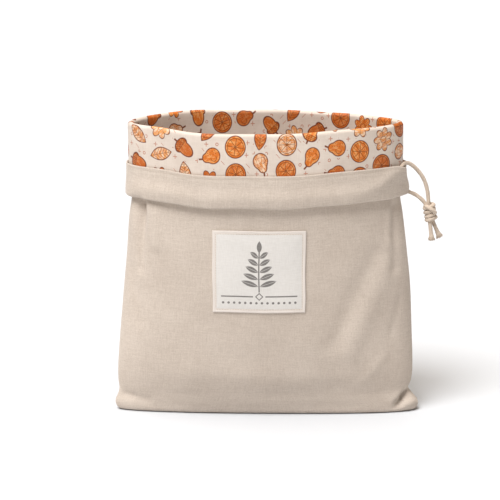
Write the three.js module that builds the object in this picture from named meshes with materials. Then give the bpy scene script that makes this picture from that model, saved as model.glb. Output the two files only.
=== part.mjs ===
// A lined drawstring bread bag, standing open with its mouth folded outward into a deep cuff.
// Millimetres, +Z up, +X to the right, the front faces -Y. The origin is under the middle of the
// bag, on the surface that it stands on.
//
// A panel is half of the bag, from side seam to side seam. It is one sheet of cloth that starts at
// the bottom seam, runs forward under the bag, turns up the wall, goes over the rim and comes down
// outside as the cuff. At the mouth's edge the canvas turns up again, which makes the casing of
// the drawstring. The waxed lining lies against the canvas and ends under the casing's top edge.

import * as THREE from 'three';

// Cloth and cord
const CANVAS = 1.2;
const LINING = 1.0;
const SEAM_GAP = 0.3;
const CORD = 4.0;
const CORD_SIDES = 8;

// Cuff, measured down from the rim, and how far the lining goes on under the casing's top edge
const LINING_SHOWN = 40;
const CUFF_DEPTH = 72.3;
const LINING_HIDDEN = 3;

// Outer radii of the fold at the rim and of the one between wall and base
const RIM_RADIUS = 3.3;
const BASE_RADIUS = 4;

// The bottom seam's length as a share of the base's, and how far the sides' ends bow away from it
const SEAM_SHARE = 0.9;
const SEAM_BOW = 1.6;

// Distances of a cloth's middle from the outer face of the wall
const RIM_AXIS = 0.5;
const CANVAS_OUT = {
  wall: -0.6, cuff: 1.6, seam: 1.7, underSeam: 1.3, band: 1.1, facing: 5.4, overCord: 2, atExit: 0.9,
};
const LINING_OUT = { wall: -2.3, cuffHigh: 3.4, cuffLow: 3.5, edge: 3.7 };
const CORD_OUT = 4.1;

// Rows of the cuff: below the rim, above the seam, below the casing's top and above the lining's edge
const CUFF_ROWS = { high: 14, low: 27, aboveSeam: 5, underSeam: 6, band: 16, aboveEdge: 6 };

// Casing: the hem's half thickness, and the cord's height over the mouth's edge
const HEM_RADIUS = 2.65;
const CORD_RISE = 9.5;
const CORD_BELOW_TOP = 4.5;
const CORD_SPREAD = 8;

// Rows of the casing's outer layer: the first above the mouth's edge, the others as shares of the
// way from the cord to the casing's top
const FACING_FIRST = 7;
const FACING_ROWS = [0.07, 0.37, 0.68, 1];

// At the right side seam the casing is left open, half this wide, for the cord's ends. In front of
// it the casing's top dips and the lining's edge is taken back, and the upper strand comes out.
const SLIT_HALF = 4.5;
const SLIT_CLOSES = { angle: 0.2, outFrom: 1.8, outTo: 4.5 };
const TOP_DIP = 4;
const LINING_BACK = 2;
const EXIT_ANGLES = [0.2, 0.45];

// Between these angles the cord rises in the casing to the place where its upper strand comes out.
// Inside the casing it runs from the front's right end round the left seam to the back's right end.
const RISING_ANGLES = [0.25, 0.9];
const CORD_ROUTE = { front: 0.43, left: Math.PI - 0.06, back: 0.15, points: 22, steps: 64 };

// Columns from side seam to side seam, and the wall's rows between its bottom fold and the rim
const COLUMNS = 24;
const WALL_ROWS = [9, 15, 21, 28, 42, 62, 90, 125, 160, 190, 212, 235, 262];

// Plan of the wall at each height: how far it reaches left and right at the side seams, how deep
// the front is on its left and right and how deep the back is, and how square it is (2: ellipse)
const WALL = [
  { z: 0, left: 149.6, right: 153.5, frontLeft: 18, frontRight: 27, back: 36, square: 2.6 },
  { z: 8, left: 152.6, right: 155.6, frontLeft: 21, frontRight: 29, back: 38, square: 2.5 },
  { z: 14, left: 150.0, right: 151.0, frontLeft: 24, frontRight: 31, back: 40, square: 2.4 },
  { z: 21, left: 148.2, right: 144.8, frontLeft: 27, frontRight: 33, back: 42, square: 2.3 },
  { z: 29, left: 149.0, right: 147.8, frontLeft: 31, frontRight: 36, back: 44, square: 2.2 },
  { z: 45, left: 149.0, right: 149.2, frontLeft: 37, frontRight: 41, back: 48, square: 2.15 },
  { z: 82, left: 146.0, right: 147.8, frontLeft: 46, frontRight: 48, back: 54, square: 2.1 },
  { z: 131, left: 141.4, right: 145.2, frontLeft: 53, frontRight: 54, back: 58, square: 2.1 },
  { z: 164, left: 138.2, right: 141.5, frontLeft: 57, frontRight: 57, back: 60, square: 2.1 },
  { z: 200, left: 135.4, right: 137.0, frontLeft: 60, frontRight: 60, back: 61, square: 2.1 },
  { z: 222, left: 132.2, right: 133.6, frontLeft: 61, frontRight: 61, back: 62, square: 2.1 },
  { z: 255, left: 131.6, right: 132.4, frontLeft: 62, frontRight: 62, back: 62, square: 2.1 },
  { z: 300, left: 132.4, right: 132.0, frontLeft: 62.5, frontRight: 62.5, back: 62, square: 2.1 },
];

// Height of the rim along the mouth, from the left side seam (-1) to the right one (1)
const RIM = [
  { at: -1, front: 293.0, back: 293.0 },
  { at: -0.78, front: 292.2, back: 296.0 },
  { at: -0.5, front: 288.6, back: 297.6 },
  { at: 0, front: 287.8, back: 297.0 },
  { at: 0.5, front: 290.6, back: 295.4 },
  { at: 0.78, front: 292.2, back: 293.8 },
  { at: 1, front: 293.0, back: 293.0 },
];

// Slack of the wall's cloth: wide shallow waves, heights and lengths of which these are. The relief
// begins between two heights over the base and dies out toward the side seams.
const SLACK = { height: 0.9, across: 31, up: 47, again: 38, shift: 1.2 };
const RELIEF_BEGINS = [2, 12];
const RELIEF_DIES = 0.4;

// Folds of the wall: soft ridges, or troughs where the height is negative, each along a line
const FOLDS = [
  { side: -1, x0: -121, z0: 212, x1: -118, z1: 168, reach: 6, height: -3.4 },
  { side: -1, x0: -109, z0: 210, x1: -107, z1: 176, reach: 7, height: 1.6 },
  { side: -1, x0: 128, z0: 212, x1: 127, z1: 150, reach: 5, height: -2.4 },
  { side: -1, x0: 127, z0: 170, x1: 84, z1: 70, reach: 11, height: 2.6 },
  { side: -1, x0: 106, z0: 165, x1: 66, z1: 76, reach: 10, height: -1.8 },
  { side: -1, x0: 143, z0: 20, x1: 129, z1: 5, reach: 4.5, height: -4.2 },
  { side: -1, x0: -141, z0: 17, x1: -118, z1: 13, reach: 4.5, height: -1.8 },
  { side: -1, x0: -70, z0: 46, x1: 40, z1: 34, reach: 16, height: 1.6 },
  { side: 1, x0: -112, z0: 205, x1: -92, z1: 96, reach: 11, height: -2.8 },
  { side: 1, x0: 96, z0: 208, x1: 104, z1: 120, reach: 9, height: -2.6 },
  { side: 1, x0: -60, z0: 92, x1: 70, z1: 60, reach: 15, height: 2.4 },
  { side: 1, x0: 140, z0: 21, x1: 122, z1: 8, reach: 5, height: -3.2 },
  { side: 1, x0: -140, z0: 20, x1: -120, z1: 9, reach: 5, height: -2.6 },
];

// The woven label on the front wall
const LABEL = { left: -51.7, right: 38.6, low: 111, high: 193.5, thick: 1, gap: 0.4, columns: 9, rows: 8 };

// Middle lines of the drawstring's two free strands, from the casing to the knot, and of its tails
const STRAND_UPPER = [
  [124.1, -28.9, 245.0], [127.4, -25.1, 245.9], [130.6, -20.6, 248.3], [133.6, -15.8, 251.0],
  [137.0, -11.9, 252.3], [141.2, -9.5, 252.0], [145.4, -7.9, 249.7], [149.8, -6.8, 245.6],
  [154.9, -5.6, 239.0], [158.3, -4.9, 232.0], [160.6, -4.4, 223.7], [161.6, -4.2, 216.0],
  [161.8, -4.2, 211.3],
];
const STRAND_LOWER = [
  [135.7, 10.0, 230.2], [136.6, 6.2, 229.2], [138.0, 2.1, 226.4], [140.5, 0.1, 223.4],
  [143.4, -0.9, 222.2], [147.9, -1.8, 220.4], [152.2, -2.6, 217.7], [156.0, -3.1, 214.4],
  [157.2, -3.2, 213.0],
];
const TAIL_LEFT = [[163.4, -6.2, 192.7], [164.2, -6.3, 186.0], [165.0, -6.2, 180.2], [165.6, -6.1, 174.4]];
const TAIL_RIGHT = [[166.9, -2.2, 192.7], [169.3, -2.0, 187.2], [171.8, -1.8, 181.8], [174.2, -1.7, 176.6]];

// The knot, a double overhand knot drawn tight: two rounded turns, one under the other
const KNOT = { x: 163.4, y: -4, low: 193.4, high: 210.6, end: 4.4, turn: 6.9, waist: 6.0, sides: 12 };
const KNOT_SHOULDER = { wide: 0.93, high: 0.74, turnHigh: 0.46 };

const CANVAS_CLOTH = { color: 0xd0c2b1, roughness: 0.95 };
const WAXED_CLOTH = { color: 0xe8dac6, roughness: 0.6 };
const LABEL_CLOTH = { color: 0xebe7e0, roughness: 0.85 };
const COTTON_CORD = { color: 0xd8c9b6, roughness: 0.9 };

// Smooth step from 0 to 1 as a value goes from one limit to the other
function ease(from, to, value) {
  const t = Math.min(Math.max((value - from) / (to - from), 0), 1);
  return t * t * (3 - 2 * t);
}

// Value of a table's column, smooth from row to row
function fromTable(rows, key, column, at) {
  const last = rows.length - 1;
  const place = Math.min(Math.max(at, rows[0][key]), rows[last][key]);
  let i = 0;
  while (i < last - 1 && rows[i + 1][key] < place) i += 1;
  const slope = (k) => {
    const before = rows[Math.max(k - 1, 0)];
    const after = rows[Math.min(k + 1, last)];
    return (after[column] - before[column]) / (after[key] - before[key]);
  };
  const span = rows[i + 1][key] - rows[i][key];
  const t = (place - rows[i][key]) / span;
  const level = rows[i][column] * (1 - t * t * (3 - 2 * t)) + rows[i + 1][column] * t * t * (3 - 2 * t);
  const bend = slope(i) * (1 - t) - slope(i + 1) * t;
  return level + span * t * (1 - t) * bend;
}

// What the slack of the cloth and its folds add to the wall, outward
function relief(side, x, z) {
  const wave = Math.sin(x / SLACK.across + z / SLACK.up + side);
  let sum = SLACK.height * wave * Math.sin(z / SLACK.again + SLACK.shift * side);
  for (const fold of FOLDS) {
    if (fold.side !== side) continue;
    const dx = fold.x1 - fold.x0;
    const dz = fold.z1 - fold.z0;
    const along = ((x - fold.x0) * dx + (z - fold.z0) * dz) / (dx * dx + dz * dz);
    const t = Math.min(Math.max(along, 0), 1);
    const away = Math.hypot(x - fold.x0 - t * dx, z - fold.z0 - t * dz) / fold.reach;
    sum += fold.height * Math.exp(-away * away);
  }
  return sum;
}

// Outer face of the wall at a height: its plan point and outward direction. The angle runs from
// the right side seam (0) to the left one (pi). side is -1 for the front and 1 for the back.
function wallPlan(side, angle, z) {
  const c = Math.cos(angle);
  const s = Math.sin(angle);
  const reach = fromTable(WALL, 'z', c < 0 ? 'left' : 'right', z);
  const right = (1 + c) / 2;
  const frontDepth = fromTable(WALL, 'z', 'frontLeft', z) * (1 - right)
    + fromTable(WALL, 'z', 'frontRight', z) * right;
  const depth = side < 0 ? frontDepth : fromTable(WALL, 'z', 'back', z);
  const power = 2 / fromTable(WALL, 'z', 'square', z);
  const x = reach * Math.sign(c) * Math.abs(c) ** power;
  const y = side * depth * s ** power;
  const out = new THREE.Vector2(x / reach ** 2, y / depth ** 2).normalize();
  const bump = relief(side, x, z) * ease(...RELIEF_BEGINS, z) * ease(0, RELIEF_DIES, s);
  return { x: x + out.x * bump, y: y + out.y * bump, out };
}

// A point of the bag: out is its distance from the wall's outer face. Past the base's fold, out
// goes on as the share of the way to the bottom seam.
function place(side, angle, out, z, slit = 0) {
  const wall = wallPlan(side, angle, z);
  const held = Math.max(out, -BASE_RADIUS);
  const run = held - out;
  const x = THREE.MathUtils.lerp(wall.x + wall.out.x * held, wall.x * SEAM_SHARE, run);
  const y = Math.abs(wall.y + wall.out.y * held) * (1 - run) + SEAM_BOW * run * (1 - run);
  return new THREE.Vector3(x, side * Math.max(y + SEAM_GAP / 2, slit), z);
}

// Heights of the rim, of the casing's top edge, of the lining's edge, of the mouth's edge and of
// the drawstring at one column
function levels(side, angle) {
  const rim = fromTable(RIM, 'at', side < 0 ? 'front' : 'back', Math.cos(angle));
  const exit = side < 0 ? 1 - ease(...EXIT_ANGLES, angle) : 0;
  const top = rim - LINING_SHOWN - TOP_DIP * exit;
  const edge = rim - LINING_SHOWN - LINING_HIDDEN * (1 - exit) + LINING_BACK * exit;
  const hem = rim - CUFF_DEPTH;
  const rising = side < 0 ? 1 - ease(...RISING_ANGLES, angle) : 0;
  const low = hem + CORD_RISE;
  const cord = low + rising * (top - CORD_BELOW_TOP - low);
  const lift = CANVAS_OUT.overCord + CANVAS_OUT.atExit * rising;
  return { rim, top, edge, hem, cord, lift };
}

// Points on an arc about a centre in the section, from one angle in degrees to another
function arc(out, z, radius, from, to, steps) {
  const points = [];
  for (let i = 0; i <= steps; i += 1) {
    const turn = THREE.MathUtils.degToRad(from + ((to - from) * i) / steps);
    points.push([out + radius * Math.cos(turn), z + radius * Math.sin(turn)]);
  }
  return points;
}

// The base, its fold and the wall of either cloth, up to the rim's fold
function lowerSection(middle, rim) {
  const radius = BASE_RADIUS + middle;
  const base = [1, 0.66, 0.33].map((run) => [-BASE_RADIUS - run, BASE_RADIUS - radius]);
  const fold = arc(-BASE_RADIUS, BASE_RADIUS, radius, -90, 0, 3);
  const wall = WALL_ROWS.map((z) => [middle, z]);
  const over = arc(RIM_AXIS, rim - RIM_RADIUS, RIM_AXIS - middle, 180, 0, 4);
  return [...base, ...fold, ...wall, ...over];
}

// Section of the canvas, by its middle line: wall, rim, cuff, hem and the casing's outer layer
function canvasSection(side, angle) {
  const { rim, top, hem, cord, lift } = levels(side, angle);
  const hemMiddle = CANVAS_OUT.band + HEM_RADIUS;
  const cuff = [
    [CANVAS_OUT.cuff, rim - CUFF_ROWS.high],
    [CANVAS_OUT.seam, rim - CUFF_ROWS.low],
    [CANVAS_OUT.seam, rim - LINING_SHOWN + CUFF_ROWS.aboveSeam],
    [CANVAS_OUT.underSeam, top - CUFF_ROWS.underSeam],
    [CANVAS_OUT.band, top - CUFF_ROWS.band],
  ];
  const turn = arc(hemMiddle, hem + HEM_RADIUS + CANVAS / 2, HEM_RADIUS, 180, 360, 4);
  const aboveCord = FACING_ROWS.map((share) => cord + share * (top - cord));
  const facing = [hem + FACING_FIRST, ...aboveCord].map((z) => {
    const away = (z - cord) / CORD_SPREAD;
    return [CANVAS_OUT.facing + lift * Math.exp(-away * away), z];
  });
  return [...lowerSection(CANVAS_OUT.wall, rim), ...cuff, ...turn, ...facing];
}

// Section of the lining, by its middle line: wall, rim and the printed part of the cuff
function liningSection(side, angle) {
  const { rim, edge } = levels(side, angle);
  const cuff = [
    [LINING_OUT.cuffHigh, rim - CUFF_ROWS.high],
    [LINING_OUT.cuffLow, rim - CUFF_ROWS.low],
    [LINING_OUT.edge, edge + CUFF_ROWS.aboveEdge],
    [LINING_OUT.edge, edge],
  ];
  return [...lowerSection(LINING_OUT.wall, rim), ...cuff];
}

// Both faces of a section, half a thickness to each side of its middle line
function thicken(section, thick) {
  return section.map((point, i) => {
    const before = section[Math.max(i - 1, 0)];
    const after = section[Math.min(i + 1, section.length - 1)];
    const along = new THREE.Vector2(after[0] - before[0], after[1] - before[1]).normalize();
    const across = along.clone().rotateAround(new THREE.Vector2(), Math.PI / 2).multiplyScalar(thick / 2);
    return [
      [point[0] + across.x, point[1] + across.y],
      [point[0] - across.x, point[1] - across.y],
    ];
  });
}

// A closed sheet between two grids of points of the same size
function sheetGeometry(upper, lower) {
  const rows = upper.length;
  const columns = upper[0].length;
  const points = [...upper.flat(), ...lower.flat()];
  const index = [];
  const at = (face, i, j) => face * rows * columns + i * columns + j;
  const quad = (a, b, c, d) => index.push(a, b, c, a, c, d);
  for (let i = 0; i < rows - 1; i += 1) {
    for (let j = 0; j < columns - 1; j += 1) {
      quad(at(0, i, j), at(0, i + 1, j), at(0, i + 1, j + 1), at(0, i, j + 1));
      quad(at(1, i, j), at(1, i, j + 1), at(1, i + 1, j + 1), at(1, i + 1, j));
    }
  }
  for (let i = 0; i < rows - 1; i += 1) {
    quad(at(0, i, 0), at(1, i, 0), at(1, i + 1, 0), at(0, i + 1, 0));
    quad(at(0, i + 1, columns - 1), at(1, i + 1, columns - 1), at(1, i, columns - 1), at(0, i, columns - 1));
  }
  for (let j = 0; j < columns - 1; j += 1) {
    quad(at(0, 0, j + 1), at(1, 0, j + 1), at(1, 0, j), at(0, 0, j));
    quad(at(0, rows - 1, j), at(1, rows - 1, j), at(1, rows - 1, j + 1), at(0, rows - 1, j + 1));
  }
  const geometry = new THREE.BufferGeometry().setFromPoints(points);
  geometry.setIndex(index);
  return facingOut(geometry);
}

// The same body with its faces pointing out
function facingOut(geometry) {
  const points = geometry.getAttribute('position');
  const index = geometry.getIndex().array;
  const [a, b, c] = [new THREE.Vector3(), new THREE.Vector3(), new THREE.Vector3()];
  let volume = 0;
  for (let i = 0; i < index.length; i += 3) {
    a.fromBufferAttribute(points, index[i]);
    b.fromBufferAttribute(points, index[i + 1]);
    c.fromBufferAttribute(points, index[i + 2]);
    volume += a.dot(b.cross(c));
  }
  if (volume < 0) geometry.setIndex([...index].reverse());
  geometry.computeVertexNormals();
  return geometry;
}

// One panel: a section at each column, from the right side seam to the left one
function panelGeometry(side, sectionAt, thick) {
  const upper = [];
  const lower = [];
  for (let i = 0; i <= COLUMNS; i += 1) {
    const angle = (Math.PI * i) / COLUMNS;
    const opening = SLIT_HALF * (1 - ease(0, SLIT_CLOSES.angle, angle));
    const openAt = (out) => opening * ease(SLIT_CLOSES.outFrom, SLIT_CLOSES.outTo, out);
    const faces = thicken(sectionAt(side, angle), thick);
    const point = ([out, z]) => place(side, angle, out, z, openAt(out));
    upper.push(faces.map((pair) => point(pair[0])));
    lower.push(faces.map((pair) => point(pair[1])));
  }
  return sheetGeometry(upper, lower);
}

// The label lies on the front wall
function labelGeometry() {
  const grid = (out) => {
    const rows = [];
    for (let i = 0; i <= LABEL.rows; i += 1) {
      const z = THREE.MathUtils.lerp(LABEL.low, LABEL.high, i / LABEL.rows);
      const row = [];
      for (let j = 0; j <= LABEL.columns; j += 1) {
        const x = THREE.MathUtils.lerp(LABEL.left, LABEL.right, j / LABEL.columns);
        const reach = fromTable(WALL, 'z', x < 0 ? 'left' : 'right', z);
        const share = Math.abs(x / reach) ** (fromTable(WALL, 'z', 'square', z) / 2);
        row.push(place(-1, Math.acos(Math.sign(x) * share), out, z));
      }
      rows.push(row);
    }
    return rows;
  };
  return sheetGeometry(grid(LABEL.gap + LABEL.thick), grid(LABEL.gap));
}

// A cord along points in space
function cordGeometry(points, steps) {
  const round = new THREE.Shape();
  for (let i = 0; i < CORD_SIDES; i += 1) {
    const turn = (2 * Math.PI * i) / CORD_SIDES;
    const corner = [(CORD / 2) * Math.cos(turn), (CORD / 2) * Math.sin(turn)];
    if (i === 0) round.moveTo(...corner);
    else round.lineTo(...corner);
  }
  round.closePath();
  const path = new THREE.CatmullRomCurve3(points.map((p) => new THREE.Vector3(...p)), false, 'centripetal');
  return new THREE.ExtrudeGeometry(round, { steps, extrudePath: path, curveSegments: 1 });
}

// The drawstring inside the casing, from the front's right end round the left seam to the back's
function casingRoute() {
  const route = [];
  const walk = (side, from, to) => {
    for (let i = 0; i <= CORD_ROUTE.points; i += 1) {
      const angle = from + ((to - from) * i) / CORD_ROUTE.points;
      route.push(place(side, angle, CORD_OUT, levels(side, angle).cord).toArray());
    }
  };
  walk(-1, CORD_ROUTE.front, CORD_ROUTE.left);
  walk(1, CORD_ROUTE.left, CORD_ROUTE.back);
  return route;
}

// The knot's outline turned about its axis
function knotGeometry() {
  const middle = (KNOT.low + KNOT.high) / 2;
  const half = (KNOT.high - KNOT.low) / 2;
  const shoulder = [KNOT.turn * KNOT_SHOULDER.wide, half * KNOT_SHOULDER.high];
  const turn = [KNOT.turn, half * KNOT_SHOULDER.turnHigh];
  const upper = [turn, shoulder, [KNOT.end, half], [0, half]];
  const lower = upper.map(([out, z]) => [out, -z]).reverse();
  const outline = [...lower, [KNOT.waist, 0], ...upper];
  const geometry = new THREE.LatheGeometry(outline.map((p) => new THREE.Vector2(...p)), KNOT.sides);
  geometry.rotateX(Math.PI / 2);
  geometry.translate(KNOT.x, KNOT.y, middle);
  return geometry;
}

const bag = new THREE.Group();

function add(name, geometry, finish) {
  const mesh = new THREE.Mesh(geometry, new THREE.MeshStandardMaterial({ metalness: 0, ...finish }));
  mesh.name = name;
  bag.add(mesh);
}

add('outer_front', panelGeometry(-1, canvasSection, CANVAS), CANVAS_CLOTH);
add('outer_back', panelGeometry(1, canvasSection, CANVAS), CANVAS_CLOTH);
add('lining_front', panelGeometry(-1, liningSection, LINING), WAXED_CLOTH);
add('lining_back', panelGeometry(1, liningSection, LINING), WAXED_CLOTH);
add('label', labelGeometry(), LABEL_CLOTH);
add('drawstring_in_casing', cordGeometry(casingRoute(), CORD_ROUTE.steps), COTTON_CORD);
add('strand_upper', cordGeometry(STRAND_UPPER, 14), COTTON_CORD);
add('strand_lower', cordGeometry(STRAND_LOWER, 8), COTTON_CORD);
add('knot', knotGeometry(), COTTON_CORD);
add('tail_left', cordGeometry(TAIL_LEFT, 3), COTTON_CORD);
add('tail_right', cordGeometry(TAIL_RIGHT, 3), COTTON_CORD);

export default bag;
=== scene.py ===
import math

import bpy
import numpy as np
from mathutils import Matrix, Vector


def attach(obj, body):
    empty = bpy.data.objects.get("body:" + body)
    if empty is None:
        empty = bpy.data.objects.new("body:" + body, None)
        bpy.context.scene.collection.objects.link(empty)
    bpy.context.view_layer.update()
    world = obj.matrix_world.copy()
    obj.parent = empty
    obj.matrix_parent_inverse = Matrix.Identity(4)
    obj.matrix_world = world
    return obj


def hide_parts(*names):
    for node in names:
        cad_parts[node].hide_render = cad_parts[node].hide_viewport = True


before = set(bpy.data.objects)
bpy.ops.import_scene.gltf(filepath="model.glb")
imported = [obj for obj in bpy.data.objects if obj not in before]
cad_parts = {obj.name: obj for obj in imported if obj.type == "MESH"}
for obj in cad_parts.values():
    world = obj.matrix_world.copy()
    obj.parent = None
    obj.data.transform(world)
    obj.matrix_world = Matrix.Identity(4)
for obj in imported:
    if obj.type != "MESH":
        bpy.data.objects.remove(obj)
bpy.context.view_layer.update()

# A lined drawstring bread bag, standing open with its mouth folded outward into a deep cuff. The
# tables are in millimetres, in the frame of the part: +Z up, +X right, the front faces -Y.
MM = 0.001

# Cloth and cord
CANVAS = 1.2
LINING = 1.0
SEAM_GAP = 0.04
CORD = 4.0

# Cuff, measured down from the rim, and how far the lining goes on under the casing's top edge
LINING_SHOWN = 40
CUFF_DEPTH = 72.3
LINING_HIDDEN = 3

# Outer radii of the fold at the rim and of the one between wall and base
RIM_RADIUS = 3.3
BASE_RADIUS = 4

# Bottom seam: its length as a share of the base's, how far the sides' ends bow away from it, and
# at which share of the way to it the base's fold starts
SEAM_SHARE = 0.9
SEAM_BOW = 1.6
BASE_FOLD_STARTS = 0.08

# Distances of a cloth's middle, and of the axis of the rim's fold, from the wall's outer face
RIM_AXIS = 0.5
CANVAS_WALL = -0.6
CUFF_INNER = 1.6
SEAM_ROW = 1.7
BAND_INNER = 1.1
BAND_OUTER = 5.4
LINING_WALL = -2.3
LINING_CUFF = 3.3
LINING_EDGE = 3.5

# The cord in the casing: its distance from the wall's outer face, how much of that is lost at the
# left side seam, and how much its radius is pressed in
CORD_OUT = 4.1
CORD_IN_AT_LEFT = 0.66
PRESSED_THINNER = 0.35

# Share of a fold's depth that the lining lies further in, and the most in mm
LINING_SLACK = 0.5
SLACK_MOST = 1.6

# The cuff's bends: how far under the rim it is full wide and its row of sewing lies, and how far
# above the casing's top edge the next one is
CUFF_WIDE_BELOW = 14
CUFF_SEAM_BELOW = 27
CUFF_ABOVE_CASING = 5

# Heights of the slack waves of the wall, the rim, the hem and the casing
WALL_WAVE = 0.9
WALL_FINE_WAVE = 0.28
WALL_FINER_WAVE = 0.12
RIM_WAVE = 0.35
HEM_WAVE = 0.4
CASING_WAVE = 0.16

# Casing: the hem's half thickness, the cord's height over the mouth's edge and its distance from
# the top edge at its exit, and the half height and depth of the bulge over it, which is deeper at
# the exit
HEM_RADIUS = 1.8
CORD_RISE = 9.5
CORD_BELOW_TOP = 4.5
CORD_SPREAD = 8
OVER_CORD = 2
MORE_AT_EXIT = 0.9

# The casing's opening at the right side seam, which ends at an angle round the mouth and widens
# between two distances from the wall, and the exit of the upper strand in front of it: the angle
# that it is at, and how far the cloths give way to it
SLIT_HALF = 4.5
SLIT_UP_TO = 0.2
SLIT_OPENS = (1.8, 4.5)
TOP_DIP = 2.4
CROSSING_AT = 0.24
CROSSING_REACH = 0.08
CROSSING_DIP = 0.9
CROSSING_OUT = 0.45
PRESSED_IN = 0.66

# Limits, as angles from the right side seam, between which something grows or fades
TOP_DIP_FADES = (0.2, 0.45)
CORD_FALLS = (0.25, 0.9)
CORD_DRAWN_IN = (2.55, 3.14)
PRESSED_FROM = (0.02, 0.09)
PRESSED_UP_TO = (0.35, 0.6)
FLARE_FADES_RIGHT = (0.05, 0.24)
FLARE_GROWS_LEFT = (2.6, 3.05)

# Flat sizes of the cut pieces
PANEL_WIDTH = 335

# Rows of the sheets' meshes along the wall and round the rim, columns from seam to seam, how much
# closer these are near the seams, and the row that is as long as the panel is wide
CANVAS_WALL_ROWS = 110
LINING_WALL_ROWS = 90
BASE_ROWS = 12
BASE_FOLD_ROWS = 6
RIM_ROWS = 12
HEM_ROWS = 10
CASING_ROWS = 21
CANVAS_COLUMNS = 200
LINING_COLUMNS = 170
COLUMNS_BUNCHED = 0.62
WIDTH_ROW = 60

# How far along the bolt the back's pieces are cut, so that no weave or print comes twice
BACK_CANVAS_FROM = 900
BACK_LINING_FROM = 1013

# The height at which the plan of the cuff is taken, and the wall's half sizes there
CUFF_PLAN_AT = 240.0
HALF_WIDE = 135
HALF_DEEP = 62

# The side seams draw the cloth in, a little more at each stitch. The folds fade out towards
# them, and towards the flat bottom.
SEAM_PINCH = 0.8
SEAM_PUCKER = 0.35
SEAM_REACH = 1.8
SEAM_STITCH = 5
FOLDS_FADE_WITHIN = 0.4
NO_FOLDS_BELOW = 2
FULL_FOLDS_ABOVE = 12

# Plan of the wall at each height: how far it reaches left and right at the side seams, how deep
# the front is on its left and right and how deep the back is, and how square it is (2: ellipse)
WALL_COLUMNS = ("z", "left", "right", "front_left", "front_right", "back", "square")
WALL = [
    (0, 149.6, 153.5, 18, 27, 36, 2.6),
    (8, 152.6, 155.6, 21, 29, 38, 2.5),
    (14, 150.0, 151.0, 24, 31, 40, 2.4),
    (22, 148.2, 145.4, 27, 33, 42, 2.3),
    (30, 149.0, 147.9, 31, 36, 44, 2.2),
    (45, 149.0, 149.2, 37, 41, 48, 2.15),
    (82, 146.0, 147.8, 46, 48, 54, 2.1),
    (131, 141.4, 145.2, 53, 54, 58, 2.1),
    (164, 138.2, 141.5, 57, 57, 60, 2.1),
    (200, 135.4, 137.0, 60, 60, 61, 2.1),
    (222, 132.2, 133.6, 61, 61, 62, 2.1),
    (255, 131.6, 132.4, 62, 62, 62, 2.1),
    (300, 132.4, 132.0, 62.5, 62.5, 62, 2.1),
]

# Height of the rim along the mouth, from the left side seam (-1) to the right one (1)
RIM_COLUMNS = ("at", "front", "back")
RIM = [
    (-1, 293.0, 293.0),
    (-0.78, 292.2, 296.0),
    (-0.5, 288.6, 297.6),
    (0, 287.8, 297.0),
    (0.5, 290.6, 295.4),
    (0.78, 292.2, 293.8),
    (1, 293.0, 293.0),
]

# Folds of the wall: soft ridges, or troughs where the height is negative, each along a line:
# side, x0, z0, x1, z1, reach, height, and the height at the line's end if it differs
FOLDS = [
    (-1, -121, 212, -118, 168, 6, -3.4),
    (-1, -109, 210, -107, 176, 7, 1.6),
    (-1, 128, 212, 127, 150, 5, -2.4),
    (-1, 127, 170, 84, 70, 11, 1.9),
    (-1, 106, 165, 66, 76, 10, -1.8),
    (-1, 143, 20, 129, 5, 4.5, -4.2),
    (-1, -141, 17, -118, 13, 4.5, -1.8),
    (-1, -70, 46, 40, 34, 16, 1.6),
    (1, -112, 205, -92, 96, 11, -2.8),
    (1, 96, 208, 104, 120, 9, -2.6),
    (1, -60, 92, 70, 60, 15, 2.4),
    (1, 140, 21, 122, 8, 5, -3.2),
    (1, -140, 20, -120, 9, 5, -2.6),
]

# Finer creases of the same kind, which only the cloth here has
CREASES = [
    (-1, 146, 22, 139, 15, 1.8, -2.4),
    (-1, 139, 15, 128, 4, 1.6, -1.2),
    (-1, 147, 20, 135, 7, 2.4, -3.6),
    (-1, 140.5, 24, 127, 8, 2.8, 1.8),
    (-1, 150, 10, 139, 4, 2.2, 1.2),
    (-1, -143, 18, -132, 16, 1.8, -1.2),
    (-1, -121, 212, -118, 168, 6, 0, 2.7),
    (-1, -130.5, 216, -131.5, 170, 4, 1.4, 0.4),
    (-1, -121.7, 218, -123.6, 150, 4, -4.7, -1.6),
    (-1, -114.9, 215, -116.5, 164, 3.3, 1.9, 0.6),
    (-1, 122, 214, 121, 176, 3.2, 1.0),
    (-1, -132, 150, -124, 96, 5, -0.7),
    (-1, 118, 60, 96, 34, 5, 0.8),
    (-1, 134, 120, 126, 84, 4, -0.8),
    (-1, -88, 30, -30, 20, 7, 0.7),
    (-1, 10, 24, 80, 30, 6, -0.6),
    (1, 60, 190, 44, 120, 7, 1.0),
    (1, -30, 200, -22, 130, 6, -1.0),
    (1, 120, 70, 84, 38, 5, 1.0),
    (1, -118, 62, -86, 34, 6, 1.2),
]

# Creases of the casing's outer layer
BAND_CREASES = [
    (-1, 131.3, 241, 131.0, 230, 0.7, -0.9),
    (-1, 129.2, 240, 129.4, 231, 0.9, -0.7),
    (-1, 124, 250, 124.5, 236, 1.6, 0.5),
    (-1, -128, 246, -127, 230, 2.2, -0.5),
    (-1, 60, 244, 66, 222, 7, -0.35),
    (-1, -40, 244, -46, 220, 9, 0.35),
    (1, 122, 250, 118, 232, 2.5, -0.4),
    (1, 40, 248, 36, 226, 8, -0.5),
    (1, -90, 250, -84, 228, 7, 0.5),
]

# The woven label on the front wall, how far its sewn line sinks, how high its middle stands and
# how wavy its edge is
LABEL_LEFT = -51.7
LABEL_RIGHT = 38.6
LABEL_LOW = 111
LABEL_HIGH = 193.5
LABEL_GAP = 0.3
LABEL_THICK = 0.9
LABEL_MARGIN = 3.2
LABEL_SINKS = 0.3
LABEL_PUFF = 0.3
LABEL_WAVE = 0.25
LABEL_COLUMNS = 100
LABEL_ROWS = 92

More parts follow.
